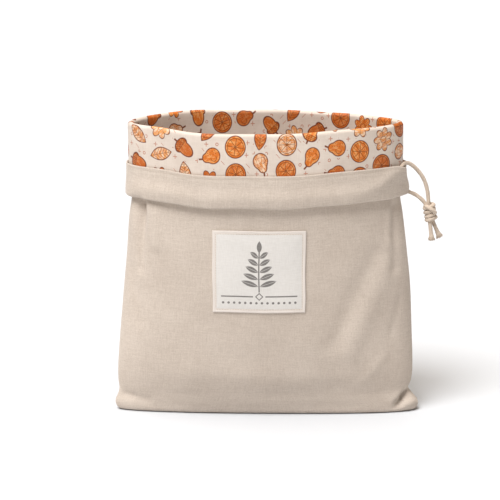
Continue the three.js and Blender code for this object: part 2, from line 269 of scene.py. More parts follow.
# Sewing: pitch, length and thickness of the stitches, and how far under the casing's top they
# run and draw the cloth in
STITCH_PITCH = 3.1
STITCH_LONG = 2.4
THREAD_THICK = 0.42
LABEL_PITCH = 2.6
LABEL_STITCH_LONG = 2.0
LABEL_THREAD_THICK = 0.36
LABEL_STITCHES_SINK = 0.2
TOP_STITCH_BELOW = 3
TOP_STITCH_SINKS = 0.35
TOP_STITCH_REACH = 1.3

# Middle lines of the drawstring's two free strands, from the casing to the knot, and of its tails
STRAND_UPPER = [
    (124.1, -28.9, 245.0), (127.7, -25.5, 246.0), (131.5, -21.4, 248.7), (134.5, -16.4, 251.5),
    (137.3, -12.1, 252.8), (141.2, -9.6, 252.4), (145.4, -7.9, 249.7), (149.8, -6.8, 245.6),
    (154.9, -5.6, 239.0), (158.3, -4.9, 232.0), (160.6, -4.4, 223.7), (161.6, -4.2, 216.0),
    (161.8, -4.2, 211.3),
]
STRAND_LOWER = [
    (135.7, 10.0, 230.2), (136.6, 6.2, 229.2), (138.0, 2.1, 226.4), (140.5, 0.1, 223.4),
    (143.4, -0.9, 222.2), (147.9, -1.8, 220.4), (152.2, -2.6, 217.7), (156.0, -3.1, 214.4),
    (158.8, -3.4, 210.8),
]
TAIL_LEFT = [(163.4, -6.2, 192.7), (164.2, -6.3, 186.0), (165.0, -6.2, 180.2), (165.6, -6.1, 174.4)]
TAIL_RIGHT = [(166.9, -2.2, 192.7), (169.3, -2.0, 187.2), (171.8, -1.8, 181.8), (174.2, -1.7, 176.6)]

# Camera: what lies at the middle of the picture, how far off it stands and how many degrees up
LOOKS_AT = (-15.3, 0, 163.4)
CAMERA_FAR = 1800
CAMERA_RISE = 11
CAMERA_LENS = 129.6

# Colours as a screen shows them, 0 to 255
LINEN_LIGHT = (209, 197, 185)
LINEN_DARK = (182, 168, 155)
LINEN_FLECK = (156, 139, 122)
WAX_GROUND = (218, 206, 195)
WAX_SHADE = (202, 188, 176)
PRINT_ORANGE = (204, 110, 38)
PRINT_PALE = (228, 170, 106)
PRINT_CREAM = (226, 202, 172)
PRINT_RUST = (166, 78, 32)
PRINT_LINE = (102, 40, 6)
LABEL_WHITE = (222, 219, 215)
LABEL_SHADE = (208, 204, 199)
LABEL_EDGE = (222, 211, 202)
LABEL_INK = (86, 82, 79)
CORD_LIGHT = (208, 193, 177)
CORD_DARK = (186, 168, 150)
THREAD = (212, 198, 182)


def ease(start, end, value):
    """Smooth step from 0 to 1 as a value goes from one limit to the other."""
    t = np.clip((value - start) / (end - start), 0, 1)
    return t * t * (3 - 2 * t)


def from_table(rows, names, column, at):
    """Values of a table's column, smooth from row to row. Its first column is the key."""
    key = np.array([row[0] for row in rows], float)
    level = np.array([row[names.index(column)] for row in rows], float)
    above = np.minimum(np.arange(len(rows)) + 1, len(rows) - 1)
    below = np.maximum(np.arange(len(rows)) - 1, 0)
    slope = (level[above] - level[below]) / (key[above] - key[below])
    at = np.clip(at, key[0], key[-1])
    i = np.clip(np.searchsorted(key, at, side="right") - 1, 0, len(rows) - 2)
    span = key[i + 1] - key[i]
    t = (at - key[i]) / span
    share = t * t * (3 - 2 * t)
    bend = slope[i] * (1 - t) - slope[i + 1] * t
    return level[i] * (1 - share) + level[i + 1] * share + span * t * (1 - t) * bend


def of_wall(column, z):
    """A size of the wall's plan at a height."""
    return from_table(WALL, WALL_COLUMNS, column, z)


def reach_of_wall(x, z):
    """How far the wall reaches to the side that x is on."""
    return np.where(x < 0, of_wall("left", z), of_wall("right", z))


def folds_at(folds, side, x, z):
    """Sum of the folds of one side at points of the wall."""
    total = np.zeros(np.broadcast(x, z).shape)
    for fold_side, x0, z0, x1, z1, reach, height, *at_end in folds:
        if fold_side != side:
            continue
        dx, dz = x1 - x0, z1 - z0
        t = np.clip(((x - x0) * dx + (z - z0) * dz) / (dx * dx + dz * dz), 0, 1)
        away = np.hypot(x - x0 - t * dx, z - z0 - t * dz) / reach
        height_there = height + (at_end[0] - height) * t if at_end else height
        total += height_there * np.exp(-away * away)
    return total


def relief(side, x, z):
    """What the slack of the cloth and its folds add to the wall, outward."""
    slack = np.sin(x / 31 + z / 47 + side) * np.sin(z / 38 + 1.2 * side)
    fine = np.sin(x / 11.3 - z / 23 + 2 * side) * np.sin(z / 17.1 + x / 41)
    finer = np.sin(x / 6.1 + z / 9.7) * np.sin(z / 7.3 - x / 13)
    waves = WALL_WAVE * slack + WALL_FINE_WAVE * fine + WALL_FINER_WAVE * finer
    return waves + folds_at(FOLDS + CREASES, side, x, z)


def wall_plan(side, angle, z):
    """Outer face of the wall at a height: plan point and outward direction, by angle from the
    right side seam (0) to the left one (pi). side is -1 for the front and 1 for the back."""
    c = np.cos(angle)
    s = np.maximum(np.sin(angle), 0)
    reach = reach_of_wall(c, z)
    share = (1 + c) / 2
    if side < 0:
        depth = of_wall("front_left", z) * (1 - share) + of_wall("front_right", z) * share
    else:
        depth = of_wall("back", z)
    power = 2 / of_wall("square", z)
    x = reach * np.sign(c) * np.abs(c) ** power
    y = side * depth * s ** power
    out_x = x / reach**2
    out_y = y / depth**2
    size = np.hypot(out_x, out_y)
    out_x, out_y = out_x / size, out_y / size
    bump = relief(side, x, z) * ease(NO_FOLDS_BELOW, FULL_FOLDS_ABOVE, z)
    bump = bump * ease(0, FOLDS_FADE_WITHIN, s)
    pucker = 1 + SEAM_PUCKER * np.sin(2 * np.pi * z / SEAM_STITCH) * np.sin(z / 23)
    bump = bump - SEAM_PINCH * pucker * np.exp(-((depth * s / SEAM_REACH) ** 2))
    return x + out_x * bump, y + out_y * bump, out_x, out_y


def place(side, angle, out, z, slit=0):
    """Points of the bag: out is the distance from the wall's outer face. Past the base's fold,
    out goes on as the share of the way to the bottom seam."""
    wall_x, wall_y, out_x, out_y = wall_plan(side, angle, z)
    held = np.maximum(out, -BASE_RADIUS)
    run = held - out
    x = (wall_x + out_x * held) * (1 - run) + wall_x * SEAM_SHARE * run
    y = np.abs(wall_y + out_y * held) * (1 - run) + SEAM_BOW * run * (1 - run)
    y = side * np.maximum(y + SEAM_GAP / 2, slit)
    return np.stack(np.broadcast_arrays(x, y, z), axis=-1)


def crossing(side, angle):
    """1 where the upper strand leaves over the casing's top edge, and 0 away from it."""
    return np.exp(-(((angle - CROSSING_AT) / CROSSING_REACH) ** 2)) * (side < 0)


def in_front(side, share):
    """The share on the front panel, and 0 on the back one."""
    return share if side < 0 else 0 * share


def mouth(side, angle):
    """Heights of the rim, the casing's top edge, the mouth's edge and the drawstring, and how
    far the cord lifts the casing, at each column."""
    rim = from_table(RIM, RIM_COLUMNS, "front" if side < 0 else "back", np.cos(angle))
    rim = rim + RIM_WAVE * np.sin(angle * 9 + side) * np.sin(angle)
    at_exit = in_front(side, 1 - ease(*TOP_DIP_FADES, angle))
    top = rim - LINING_SHOWN - TOP_DIP * at_exit - CROSSING_DIP * crossing(side, angle)
    hem = rim - CUFF_DEPTH + HEM_WAVE * np.sin(angle * 13 + 2 * side) * np.sin(angle)
    rising = in_front(side, 1 - ease(*CORD_FALLS, angle))
    low = hem + CORD_RISE
    cord = low + rising * (top - CORD_BELOW_TOP - low)
    lift = OVER_CORD + MORE_AT_EXIT * rising
    return rim, top, hem, cord, lift


# The casing stands further out at the side seams: all of it, and its bulge, which at the right
# one lies this far over the mouth's edge
BAND_FLARE_RIGHT = 1.2
BAND_FLARE_LEFT = 0.6
BULGE_RIGHT = 2.3
BULGE_LEFT = 0.5
BULGE_RISE = 8


def casing_out(side, angle, x, z):
    """Distance of the casing's outer layer from the wall's outer face."""
    _, top, hem, cord, lift = mouth(side, angle)
    at_right = 1 - ease(*FLARE_FADES_RIGHT, angle)
    at_left = ease(*FLARE_GROWS_LEFT, angle)
    centre = cord * (1 - at_right) + (hem + BULGE_RISE) * at_right
    lift = lift * (1 - at_right) * (1 - at_left) + BULGE_RIGHT * at_right + BULGE_LEFT * at_left
    bulge = lift * np.exp(-(((z - centre) / CORD_SPREAD) ** 2))
    flare = BAND_FLARE_RIGHT * at_right + BAND_FLARE_LEFT * at_left
    flare = flare + CROSSING_OUT * crossing(side, angle)
    wave = CASING_WAVE * np.sin(x / 7.5 + z / 11) * ease(0, 8, z - hem - HEM_RADIUS)
    from_row = (z - top + TOP_STITCH_BELOW) / TOP_STITCH_REACH
    sewn = -TOP_STITCH_SINKS * np.exp(-(from_row**2))
    return BAND_OUTER + flare + bulge + wave + sewn + folds_at(BAND_CREASES, side, x, z)


def arc(out, z, wide, high, start, end, steps):
    """Rows on an arc about a centre in the section, from one angle in degrees to another."""
    turns = np.radians(np.linspace(start, end, steps + 1))
    return [(out + wide * math.cos(turn), z + high * math.sin(turn)) for turn in turns]


def between(rows, steps):
    """The rows with more rows put between them."""
    more = [rows[0]]
    for (out_a, z_a), (out_b, z_b) in zip(rows, rows[1:]):
        for step in range(1, steps + 1):
            share = step / steps
            more.append((out_a * (1 - share) + out_b * share, z_a * (1 - share) + z_b * share))
    return more


def lower_rows(side, angle, middle, rim, wall_rows, slack):
    """Rows of either cloth from the base to the rim's fold. Where the wall is folded, a cloth with
    slack lies that share of the fold's depth further in, and in a fine crease twice that."""
    radius = BASE_RADIUS + middle - slack / 2
    runs = np.linspace(1, BASE_FOLD_STARTS, BASE_ROWS)
    base = [(-BASE_RADIUS - run, BASE_RADIUS - radius) for run in runs]
    fold = arc(-BASE_RADIUS, BASE_RADIUS, radius, radius, -90, 0, BASE_FOLD_ROWS)
    rise = rim - RIM_RADIUS - BASE_RADIUS
    wall = []
    for share in np.linspace(0, 1, wall_rows + 1)[1:-1]:
        z = BASE_RADIUS + rise * share
        x = wall_plan(side, angle, z)[0]
        creased = np.abs(folds_at(FOLDS, side, x, z)) + 2 * np.abs(folds_at(CREASES, side, x, z))
        wall.append((middle - np.minimum(slack * creased, SLACK_MOST), z))
    radius = RIM_AXIS - middle
    over = arc(RIM_AXIS, rim - RIM_RADIUS, radius, radius, 180, 0, RIM_ROWS)
    return base + fold + wall + over


def canvas_rows(side, angle, x):
    """Section of the canvas by its middle line: wall, rim, cuff, hem and the casing's layers."""
    rim, top, hem, _, _ = mouth(side, angle)
    middle = hem + HEM_RADIUS + CANVAS / 2
    cuff = [
        (RIM_AXIS + RIM_AXIS - CANVAS_WALL, rim - RIM_RADIUS),
        (CUFF_INNER, rim - CUFF_WIDE_BELOW),
        (SEAM_ROW, rim - CUFF_SEAM_BELOW),
        (SEAM_ROW, rim - LINING_SHOWN + CUFF_ABOVE_CASING),
        (1.3, top - 6),
        (BAND_INNER, top - 16),
        (BAND_INNER, middle),
    ]
    wide = (casing_out(side, angle, x, middle) - BAND_INNER) / 2
    turn = arc(BAND_INNER + wide, middle, wide, HEM_RADIUS, 180, 360, HEM_ROWS)
    heights = [middle + share * (top - middle) for share in np.linspace(0, 1, CASING_ROWS + 1)]
    facing = [(casing_out(side, angle, x, z), z) for z in heights[1:]]
    lower = lower_rows(side, angle, CANVAS_WALL, rim, CANVAS_WALL_ROWS, 0)
    return lower + between(cuff, 4)[1:-1] + turn + facing


def lining_rows(side, angle, x):
    """Section of the lining by its middle line: wall, rim and the printed part of the cuff."""
    rim = mouth(side, angle)[0]
    edge = rim - LINING_SHOWN - LINING_HIDDEN
    pressed = in_front(side, ease(*PRESSED_FROM, angle) * (1 - ease(*PRESSED_UP_TO, angle)))
    low = LINING_EDGE - PRESSED_IN * pressed
    cuff = [
        (RIM_AXIS + RIM_AXIS - LINING_WALL, rim - RIM_RADIUS),
        (LINING_CUFF + 0.1, rim - CUFF_WIDE_BELOW),
        (LINING_CUFF + 0.2, rim - CUFF_SEAM_BELOW),
        (low, edge + 6),
        (low, edge),
    ]
    lower = lower_rows(side, angle, LINING_WALL, rim, LINING_WALL_ROWS, LINING_SLACK)
    return lower + between(cuff, 5)[1:]


def column_angles(count):
    """Angles of a panel's columns, closer together near the side seams."""
    share = np.linspace(0, 1, count)
    return np.pi * (share - COLUMNS_BUNCHED * np.sin(2 * np.pi * share) / (2 * np.pi))


def put(name, data):
    """An object in the scene with this data."""
    thing = bpy.data.objects.new(name, data)
    bpy.context.scene.collection.objects.link(thing)
    return thing


def mesh_object(name, points, faces, uvs):
    """A smooth mesh from arrays of points and of faces, with a UV per point."""
    mesh = bpy.data.meshes.new(name)
    mesh.from_pydata(points * MM, [], faces)
    mesh.shade_smooth()
    mesh.uv_layers.new(name="cloth").data.foreach_set("uv", uvs[faces.ravel()].ravel())
    mesh.validate()
    piece = put(name, mesh)
    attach(piece, "root")
    return piece


def facing_out(points, faces):
    """The faces of a closed body, turned over where they point in."""
    a, b, c = (points[faces[:, k]] for k in range(3))
    volume = np.einsum("ij,ij->i", a, np.cross(b, c)).sum()
    return faces if volume > 0 else faces[:, ::-1]


def sheet_object(name, upper, lower, uv):
    """A closed sheet between two grids of points of the same size."""
    rows, columns = upper.shape[:2]
    index = np.arange(rows * columns).reshape(rows, columns)
    a, b, c, d = index[:-1, :-1], index[1:, :-1], index[1:, 1:], index[:-1, 1:]
    top = np.stack([a, b, c, d], axis=-1).reshape(-1, 4)
    bottom = top[:, ::-1] + rows * columns
    rim = np.concatenate([index[0, :-1], index[:-1, -1], index[-1, :0:-1], index[:0:-1, 0]])
    after = np.roll(rim, -1)
    side = np.stack([rim, after, after + rows * columns, rim + rows * columns], axis=-1)
    points = np.concatenate([upper.reshape(-1, 3), lower.reshape(-1, 3)])
    faces = facing_out(points, np.concatenate([top, bottom, side]))
    uvs = np.concatenate([uv.reshape(-1, 2)] * 2)
    return mesh_object(name, points, faces, uvs)


def panel(name, side, rows_of, thick, columns, offset):
    """One panel of the bag: a section at each column, from the right side seam to the left."""
    angle = column_angles(columns)
    x = wall_plan(side, angle, CUFF_PLAN_AT)[0]
    rows = rows_of(side, angle, x)
    out = np.stack([np.broadcast_to(row[0], angle.shape) for row in rows])
    z = np.stack([np.broadcast_to(row[1], angle.shape) for row in rows])
    along_out = np.gradient(out, axis=0)
    along_z = np.gradient(z, axis=0)
    size = np.hypot(along_out, along_z)
    across_out = -along_z / size * thick / 2
    across_z = along_out / size * thick / 2
    opening = SLIT_HALF * (1 - ease(0, SLIT_UP_TO, angle)) * (angle < 1)

    def face(sign):
        away = out + sign * across_out
        slit = opening * ease(*SLIT_OPENS, away)
        return place(side, angle, away, z + sign * across_z, slit)

    middle = (face(1) + face(-1)) / 2
    steps = np.linalg.norm(np.diff(middle, axis=0), axis=2)
    length = np.concatenate([np.zeros((1, columns)), np.cumsum(steps, axis=0)])
    length = np.broadcast_to(length.mean(axis=1, keepdims=True), length.shape)
    across = np.linalg.norm(np.diff(middle[WIDTH_ROW], axis=0), axis=1)
    width = np.concatenate([[0], np.cumsum(across)])
    u = np.broadcast_to(width * PANEL_WIDTH / width[-1], length.shape)
    uv = np.stack([u + offset, length], axis=-1) * MM
    return sheet_object(name, face(1), face(-1), uv)


def label_place(x, z, out):
    """Points on the front wall by their x and height."""
    share = np.abs(x / reach_of_wall(x, z)) ** (of_wall("square", z) / 2)
    return place(-1, np.arccos(np.sign(x) * share), out, z)


def label_object():
    """The label, sewn down along its margin, so its middle stands a little proud."""
    across = np.linspace(LABEL_LEFT, LABEL_RIGHT, LABEL_COLUMNS)
    x, z = np.meshgrid(across, np.linspace(LABEL_LOW, LABEL_HIGH, LABEL_ROWS))
    inside = np.minimum.reduce([x - LABEL_LEFT, LABEL_RIGHT - x, z - LABEL_LOW, LABEL_HIGH - z])
    middle_x, middle_z = (LABEL_LEFT + LABEL_RIGHT) / 2, (LABEL_LOW + LABEL_HIGH) / 2
    sewn = -LABEL_SINKS * np.exp(-(((inside - LABEL_MARGIN) / 0.9) ** 2))
    puff = LABEL_PUFF * ease(4, 12, inside) + 0.1 * np.sin(x / 9) * np.sin(z / 13)
    edge = LABEL_WAVE * np.sin(x / 4.1 + z / 5.3) * np.exp(-inside / 1.2)
    bow_x = LABEL_WAVE * np.sin((z - LABEL_LOW) / 9)
    bow_z = LABEL_WAVE * np.sin((x - LABEL_LEFT) / 11)
    over = np.clip(sewn + puff, -0.25, 1) + np.maximum(edge, 0)
    top = label_place(x + bow_x, z + bow_z, LABEL_GAP + LABEL_THICK + over)
    bottom = label_place(x + bow_x, z + bow_z, np.full(x.shape, LABEL_GAP))
    uv = np.stack([x - middle_x, z - middle_z], axis=-1) * MM
    return sheet_object("woven_label", top, bottom, uv)


# Steps of a curve from one given point to the next, and a direction that no cord runs in
CURVE_STEPS = 24
ASIDE = (0.31, 0.94, 0.12)


def run_along(path):
    """Distance of each point of a path from its start, along the path."""
    return np.concatenate([[0], np.cumsum(np.linalg.norm(np.diff(path, axis=0), axis=1))])


def read_along(at, run, values):
    """Points or directions along a path, at other distances from its start than they are given."""
    return np.stack([np.interp(at, run, values[:, k]) for k in range(3)], axis=1)


def smooth_path(points, spacing):
    """Points at even distances on a smooth curve through the given ones."""
    points = np.asarray(points, float)
    ends = np.concatenate([[2 * points[0] - points[1]], points, [2 * points[-1] - points[-2]]])
    curve = []
    for p0, p1, p2, p3 in zip(ends, ends[1:], ends[2:], ends[3:]):
        slope = p2 - p0
        bend = 2 * p0 - 5 * p1 + 4 * p2 - p3
        twist = 3 * p1 - p0 - 3 * p2 + p3
        for t in np.linspace(0, 1, CURVE_STEPS, endpoint=False):
            curve.append(0.5 * (2 * p1 + slope * t + bend * t * t + twist * t**3))
    curve = np.array(curve + [points[-1]])
    run = run_along(curve)
    count = max(int(round(run[-1] / spacing)), 2)
    return read_along(np.linspace(0, run[-1], count + 1), run, curve)


def frames_along(path):
    """Two directions across a path at each of its points, without twist."""
    along = np.gradient(path, axis=0)
    along /= np.linalg.norm(along, axis=1)[:, None]
    first = np.cross(along[0], ASIDE)
    across = [first / np.linalg.norm(first)]
    for direction in along[1:]:
        turned = across[-1] - direction * np.dot(across[-1], direction)
        across.append(turned / np.linalg.norm(turned))
    across = np.array(across)
    return along, across, np.cross(along, across)


# Braid: strands each way round the cord, length of one turn, and its relief
BRAID_STRANDS = 4
BRAID_TURN = 9
BRAID_RELIEF = 0.16


def tube(path, radius, sides=24, braided=True, shrink=None):
    """Points, faces and UVs of a round tube with a braid's relief along a path."""
    _, across, beside = frames_along(path)
    run = run_along(path)
    turn = np.linspace(0, 2 * np.pi, sides, endpoint=False)
    size = np.full((len(path), sides), float(radius))
    if braided:
        lay = 2 * np.pi * run[:, None] / BRAID_TURN
        one_way = np.cos(BRAID_STRANDS * turn + lay)
        other_way = np.cos(BRAID_STRANDS * turn - lay)
        size += BRAID_RELIEF * (np.maximum(one_way, other_way) - 0.6)
    if shrink is not None:
        size *= shrink[:, None]
    cosines, sines = np.cos(turn)[None, :, None], np.sin(turn)[None, :, None]
    ring = across[:, None] * cosines + beside[:, None] * sines
    points = path[:, None] + ring * size[..., None]
    count = len(path)
    index = np.arange(count * sides).reshape(count, sides)
    beyond = np.roll(index, -1, axis=1)
    quads = np.stack([index[:-1], beyond[:-1], beyond[1:], index[1:]], axis=-1).reshape(-1, 4)
    points = np.concatenate([points.reshape(-1, 3), [path[0], path[-1]]])
    start, end = len(points) - 2, len(points) - 1
    caps = [(start, index[0, (k + 1) % sides], index[0, k]) for k in range(sides)]
    caps += [(end, index[-1, k], index[-1, (k + 1) % sides]) for k in range(sides)]
    uv = np.stack(np.broadcast_arrays(turn[None, :] * radius, run[:, None]), axis=-1).reshape(-1, 2)
    uv = np.concatenate([uv, [uv[0], uv[-1]]]) * MM
    triangles = np.concatenate([quads[:, [0, 1, 2]], quads[:, [0, 2, 3]], np.array(caps)])
    return points, triangles, uv


def joined(name, parts):
    """One piece from several sets of points, triangles and UVs."""
    points, faces, uvs = zip(*parts)
    starts = np.cumsum([0] + [len(part) for part in points])
    faces = [part + start for part, start in zip(faces, starts)]
    return mesh_object(name, *map(np.concatenate, (points, faces, uvs)))


# The camera stands at the photograph's height and looks down a little at the bag's middle
rise = math.radians(CAMERA_RISE)
target = Vector(LOOKS_AT) * MM
stands = target + CAMERA_FAR * MM * Vector((0, -math.cos(rise), math.sin(rise)))
camera_data = bpy.data.cameras.new("camera")
camera_data.lens = CAMERA_LENS
camera_data.clip_end = 50
camera = put("camera", camera_data)
turned = (target - stands).to_track_quat("-Z", "Y").to_matrix().to_4x4()
camera.matrix_world = Matrix.Translation(stands) @ turned
bpy.context.scene.camera = camera


# The knot: two pairs of turns round the cords' ends, and the strand that crosses over them. The
# winding comes down between two shares of each turn, as it passes the front.
KNOT_Y = -4
KNOT_DEEP = 4.5
KNOT_CORD = 4.1
KNOT_COMES_DOWN = (0.25, 0.75)
KNOT_STEPS = 150

# Turns of the cord in the knot from the top down: middle across, half width and height at the back
TURNS = [
    (163.0, 3.9, 210.0), (162.8, 4.6, 206.4), (163.6, 4.7, 202.0), (164.6, 4.6, 197.8),
    (164.4, 4.0, 194.6),
]


def knot_turns():
    """Middle line of the cord that is wound in the knot. It stops just before its last turn."""
    line = []
    for step in np.linspace(0, len(TURNS) - 1.02, KNOT_STEPS):
        i = int(step)
        share = ease(*KNOT_COMES_DOWN, step - i)
        middle, wide, height = (a + (b - a) * share for a, b in zip(TURNS[i], TURNS[i + 1]))
        turn = 2 * math.pi * step - 0.5 * math.pi
        line.append((
            middle + wide * math.cos(turn),
            KNOT_Y - KNOT_DEEP * math.sin(turn),
            height,
        ))
    return line


# The cord that crosses the upper turns in front and dives under them again
KNOT_CROSSING = [
    (158.4, -3.2, 208.2), (159.6, -7.8, 208.6), (162.4, -10.6, 207.8), (165.5, -11.2, 205.7),
    (167.7, -9.6, 203.4), (167.9, -6.0, 202.2),
]

# Middle lines of the drawstring's two ends, from the casing through the knot to the tips
UPPER_END = [*STRAND_UPPER, (162.2, -4.3, 206.0), (162.9, -4.8, 199.0), *TAIL_LEFT]
LOWER_END = [*STRAND_LOWER, (162.6, -3.6, 205.5), (165.0, -2.8, 199.0), *TAIL_RIGHT]

# Distance between the rings of a cord that shows, and of the one in the casing
RING_STEP = 0.5
HIDDEN_RING_STEP = 1.6

# The fray of a cut end: how many fibres, how long and thick they are, how far from the cord's
# middle they start, how much they bend, and how many rings before the tip they leave the cord
FIBRES = 130
FIBRE_LONG = 5.5
FIBRE_THICK = 0.38
FIBRES_WITHIN = 1.7
FIBRE_BEND = 0.25
FRAY_RINGS = 12


def frayed_tip(path, seed):
    """Fibres that spread from a cord's cut end."""
    rng = np.random.default_rng(seed)
    along, across, beside = frames_along(path)
    start = path[-FRAY_RINGS]
    parts = []
    for _ in range(FIBRES):
        turn = rng.uniform(0, 2 * np.pi)
        inner = FIBRES_WITHIN * math.sqrt(rng.uniform(0, 1))
        spread = inner * rng.uniform(1.45, 2.1) + 0.4
        reach = FIBRE_LONG * rng.uniform(0.75, 1.05)
        side = across[-1] * math.cos(turn) + beside[-1] * math.sin(turn)
        bend = rng.normal(0, FIBRE_BEND, 3)
        line = [
            start + side * inner,
            start + along[-1] * reach * 0.4 + side * (inner * 0.6 + spread * 0.4) + bend * 0.4,
            start + along[-1] * reach + side * spread + bend,
        ]
        parts.append(tube(smooth_path(line, 0.9), FIBRE_THICK / 2, sides=5, braided=False))
    return parts


def free_end(name, points, seed):
    """One end of the drawstring. It swells a little before its tip and frays where it was cut."""
    path = smooth_path(points, RING_STEP)
    to_tip = np.linspace(len(path) * RING_STEP, 0, len(path))
    shrink = 1 - 0.3 * np.exp(-((to_tip / 1.5) ** 2))
    swell = 1 + 0.3 * np.exp(-(((to_tip - 3.5) / 3) ** 2))
    parts = [tube(path, CORD / 2 - 0.05, shrink=shrink * swell), *frayed_tip(path, seed)]
    return joined(name, parts), path, float(run_along(path)[-1])


cord_upper, upper_path, upper_length = free_end("cord_end_upper", UPPER_END, 3)
cord_lower, lower_path, lower_length = free_end("cord_end_lower", LOWER_END, 8)
knot_path = smooth_path(knot_turns(), RING_STEP)
crossing_path = smooth_path(KNOT_CROSSING, RING_STEP)
knot = joined("knot_wraps", [tube(knot_path, KNOT_CORD / 2), tube(crossing_path, KNOT_CORD / 2)])


# Where the drawstring's run in the casing starts, turns to the back and ends, as angles
ROUTE_STARTS = 0.43
ROUTE_TURNS = np.pi - 0.06
ROUTE_ENDS = 0.15
ROUTE_STEPS = 90


def casing_route():
    """Middle line of the drawstring inside the casing, round the whole mouth."""
    front = np.linspace(ROUTE_STARTS, ROUTE_TURNS, ROUTE_STEPS)
    back = np.linspace(ROUTE_TURNS, ROUTE_ENDS, ROUTE_STEPS)
    lines = []
    for side, angle in ((-1, front), (1, back)):
        out = CORD_OUT - CORD_IN_AT_LEFT * ease(*CORD_DRAWN_IN, angle)
        lines.append(place(side, angle, out, mouth(side, angle)[3]))
    return np.concatenate(lines)


inside_path = smooth_path(casing_route(), HIDDEN_RING_STEP)
cord_inside = joined("cord_in_casing", [tube(inside_path, CORD / 2 - PRESSED_THINNER, sides=16)])

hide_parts("strand_upper", "tail_left")
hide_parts("strand_lower", "tail_right")
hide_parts("knot")
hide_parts("drawstring_in_casing")

# The panels, each its own sheet from the bottom seam to the mouth
canvas_front = panel("canvas_front", -1, canvas_rows, CANVAS, CANVAS_COLUMNS, 0)
canvas_back = panel("canvas_back", 1, canvas_rows, CANVAS, CANVAS_COLUMNS, BACK_CANVAS_FROM)
lining_front = panel("waxed_lining_front", -1, lining_rows, LINING, LINING_COLUMNS, 0)
lining_back = panel("waxed_lining_back", 1, lining_rows, LINING, LINING_COLUMNS, BACK_LINING_FROM)
label = label_object()
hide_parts("outer_front")
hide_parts("outer_back")
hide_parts("lining_front")
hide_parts("lining_back")
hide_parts("label")


# Points of a stitch: shares of its length from its middle, and heights of a thread 0.4 mm thick
STITCH_ALONG = np.array([-0.5, -0.3, 0, 0.3, 0.5])
STITCH_HEIGHTS = np.array([-0.25, 0.12, 0.2, 0.12, -0.25])


def stitches(name, path, normals, pitch, long, thick):
    """A row of stitches along a path, each a short thread that dips into the cloth."""
    run = run_along(path)
    count = int(run[-1] / pitch)
    parts = []
    for k in range(count):
        at = (k + 0.5) * pitch + STITCH_ALONG * long
        risen = read_along(at, run, normals) * STITCH_HEIGHTS[:, None] * thick / 0.4
        line = read_along(at, run, path) + risen
        parts.append(tube(line, thick / 2, sides=6, braided=False))
    return joined(name, parts)


def outward(path):
    """Directions out of the bag at points near its wall."""
    flat = path * (1, 1, 0) / (HALF_WIDE**2, HALF_DEEP**2, 1)
    return flat / np.linalg.norm(flat, axis=1)[:, None]


# Each casing's row of stitches starts beside the opening at the right and ends near the left seam
STITCHES_END = np.pi - 0.04
rows_of_stitches = []
for side, side_name, starts in ((-1, "front", 0.24), (1, "back", 0.2)):
    angle = np.linspace(starts, STITCHES_END, 220)
    z = mouth(side, angle)[1] - TOP_STITCH_BELOW
    out = casing_out(side, angle, wall_plan(side, angle, CUFF_PLAN_AT)[0], z)
    line = place(side, angle, out + CANVAS / 2, z)
    name = "casing_stitches_" + side_name
    row = stitches(name, line, outward(line), STITCH_PITCH, STITCH_LONG, THREAD_THICK)
    rows_of_stitches.append(row)

left, right = LABEL_LEFT + LABEL_MARGIN, LABEL_RIGHT - LABEL_MARGIN
low, high = LABEL_LOW + LABEL_MARGIN, LABEL_HIGH - LABEL_MARGIN
corners = [(left, low), (right, low), (right, high), (left, high), (left, low)]
around = np.array(between(corners, 30))
sewn_at = np.full(len(around), LABEL_GAP + LABEL_THICK - LABEL_STITCHES_SINK)
label_line = label_place(around[:, 0], around[:, 1], sewn_at)
label_row = stitches(
    "label_stitches", label_line, outward(label_line), LABEL_PITCH, LABEL_STITCH_LONG,
    LABEL_THREAD_THICK,
)
rows_of_stitches.append(label_row)


def linear(colour, alpha=1):
    """A screen colour, 0 to 255, as the shader takes it."""
    shares = [channel / 255 for channel in colour]
    return [s / 12.92 if s <= 0.04045 else ((s + 0.055) / 1.055) ** 2.4 for s in shares] + [alpha]


def fill(tree, socket, term):
    """Give a node's input a value, or link it to what another node works out."""
    if isinstance(term, Field):
        term = term.socket
    if isinstance(term, bpy.types.NodeSocket):
        tree.links.new(term, socket)
    else:
        socket.default_value = term


def add_node(tree, kind, inputs, **settings):
    """A node with its inputs by name or number, and its other settings."""
    node = tree.nodes.new("ShaderNode" + kind)
    for setting, value in settings.items():
        setattr(node, setting, value)
    for key, term in inputs.items():
        fill(tree, node.inputs[key], term)
    return node


def worked_out_by(operation):
    """A method that works out one operation from a field and the terms it is given."""
    return lambda field, *terms: field.math(operation, *terms)


